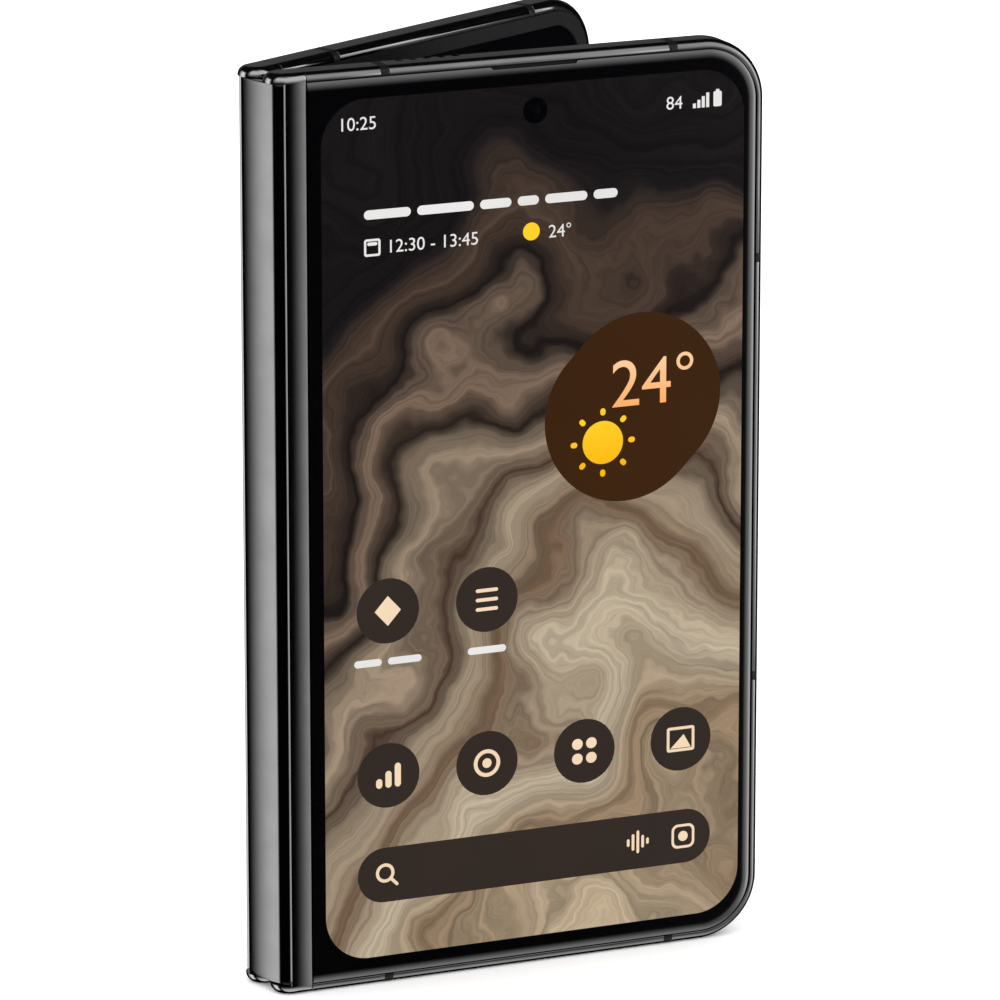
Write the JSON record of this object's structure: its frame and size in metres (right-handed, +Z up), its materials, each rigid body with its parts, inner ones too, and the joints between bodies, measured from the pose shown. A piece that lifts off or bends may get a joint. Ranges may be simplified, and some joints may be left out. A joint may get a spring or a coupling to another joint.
{
  "type": "foldable smartphone",
  "caption": "Book-style foldable phone with a cover display, a geared two-axis hinge under a spine, and a flexible inner display.",
  "frame": {"origin": "front half's hinge axis at the bottom face it stands on", "axes": "+Z up along the hinge axis, +X along the front half to its free edge, the cover display faces -Y"},
  "size_m": [0.0804, 0.0467, 0.1397],
  "materials": {
    "polished_frame": "polished dark graphite anodising",
    "hinge_metal": "polished dark graphite, bright chamfer",
    "spine_metal": "polished dark graphite",
    "band_plastic": "satin black moulding",
    "cover_glass": "black glass with a softly rounded edge",
    "cover_screen": "display stack under the glass",
    "seal": "adhesive foam",
    "lens_black": "coated lens in a black barrel",
    "grille_mesh": "fine black mesh",
    "module_black": "moulded speaker box",
    "battery_foil": "foil pouch",
    "circuit_board": "soldered board",
    "bezel_plastic": "black bezel",
    "inner_screen": "flexible display, switched off",
    "steel": "machined steel",
    "gear_brass": "cut brass",
    "flex_film": "flexible circuit film",
    "back_glass": "satin black glass",
    "island_metal": "satin dark metal",
    "island_glass": "black window glass",
    "flash_diffuser": "ribbed diffuser",
    "coil_copper": "wound copper",
    "tray_metal": "polished dark graphite",
    "key_metal": "polished dark graphite"
  },
  "bodies": {
    "cover_half": {"front_frame": "polished_frame", "front_hinge_rail": "hinge_metal", "front_antenna_bands": "band_plastic", "cover_glass": "cover_glass", "cover_seal": "seal", "cover_display": "cover_screen", "cover_camera": "lens_black", "earpiece_grille": "grille_mesh", "top_speaker": "module_black", "front_battery": "battery_foil", "front_board": "circuit_board", "front_bezel": "bezel_plastic", "inner_display_front": "inner_screen", "front_hinge_arms": "steel", "front_shafts": "steel", "front_gear": "gear_brass", "front_screws": "steel", "sim_reader": "steel", "front_magnets": "steel"},
    "spine": {"spine_cover": "spine_metal", "spine_bridge": "steel", "bearing_blocks": "steel", "friction_springs": "steel", "fold_display": "inner_screen", "hinge_flex": "flex_film", "spine_screws": "steel"},
    "camera_half": {"rear_frame": "polished_frame", "rear_hinge_rail": "hinge_metal", "rear_antenna_bands": "band_plastic", "back_glass": "back_glass", "camera_island": "island_metal", "island_glass": "island_glass", "main_camera": "lens_black", "wide_camera": "lens_black", "tele_camera": "lens_black", "flash_lens": "flash_diffuser", "charging_coil": "coil_copper", "rear_battery": "battery_foil", "main_board": "circuit_board", "board_shields": "steel", "rear_bezel": "bezel_plastic", "inner_display_rear": "inner_screen", "inner_camera": "lens_black", "rear_hinge_arms": "steel", "rear_shafts": "steel", "rear_gear": "gear_brass", "rear_screws": "steel", "usb_port": "steel", "bottom_speaker": "module_black", "haptic_motor": "steel", "key_switches": "steel", "rear_magnets": "steel"},
    "sim_tray": {"sim_tray": "tray_metal"},
    "front_wing": {"front_wing": "steel"},
    "rear_wing": {"rear_wing": "steel"},
    "front_idler": {"front_idler": "gear_brass"},
    "rear_idler": {"rear_idler": "gear_brass"},
    "power_key": {"power_key": "key_metal"},
    "volume_key": {"volume_key": "key_metal"}
  },
  "joints": [
    {"name": "front_fold", "type": "hinge", "parent": "cover_half", "child": "spine", "pos_m": [0, 0, 0], "axis": [0, 0, 1], "range_deg": [-14, 76], "deforming": ["fold_display"]},
    {"name": "rear_fold", "type": "hinge", "parent": "spine", "child": "camera_half", "pos_m": [-0.00152, 0.00611, 0], "axis": [0, 0, 1], "range_deg": [-14, 76]},
    {"name": "front_idler_spin", "type": "hinge", "parent": "spine", "child": "front_idler", "pos_m": [-0.00051, 0.00204, 0.072], "axis": [0, 0, 1], "range_deg": [-14, 76]},
    {"name": "rear_idler_spin", "type": "hinge", "parent": "spine", "child": "rear_idler", "pos_m": [-0.00102, 0.00408, 0.072], "axis": [0, 0, 1], "range_deg": [-76, 14]},
    {"name": "front_wing_tilt", "type": "hinge", "parent": "cover_half", "child": "front_wing", "pos_m": [0.0061, 0.00175, 0.07], "axis": [0, 0, 1], "range_deg": [-23.25, 4.28]},
    {"name": "rear_wing_tilt", "type": "hinge", "parent": "camera_half", "child": "rear_wing", "pos_m": [0.00468, 0.00743, 0.07], "axis": [0, 0, 1], "range_deg": [-4.28, 23.25]},
    {"name": "sim_tray_slide", "type": "slide", "parent": "cover_half", "child": "sim_tray", "axis": [0, 0, -1], "range_m": [0, 0.02]},
    {"name": "power_key_press", "type": "slide", "parent": "camera_half", "child": "power_key", "axis": [-0.8829, -0.4695, 0], "range_m": [0, 0.00025], "stiffness_N_per_m": 600, "springref_m": -0.001},
    {"name": "volume_key_rock", "type": "hinge", "parent": "camera_half", "child": "volume_key", "pos_m": [0.06501, 0.04149, 0.0905], "axis": [-0.4695, 0.8829, 0], "range_deg": [-1, 1], "stiffness_Nm_per_rad": 0.4}
  ],
  "couplings": [
    {"joint": "rear_fold", "follows": "front_fold", "ratio": 1},
    {"joint": "front_idler_spin", "follows": "front_fold", "ratio": 1},
    {"joint": "rear_idler_spin", "follows": "front_fold", "ratio": -1},
    {"joint": "front_wing_tilt", "follows": "front_fold", "ratio": -0.30585},
    {"joint": "rear_wing_tilt", "follows": "front_fold", "ratio": 0.30585}
  ]
}
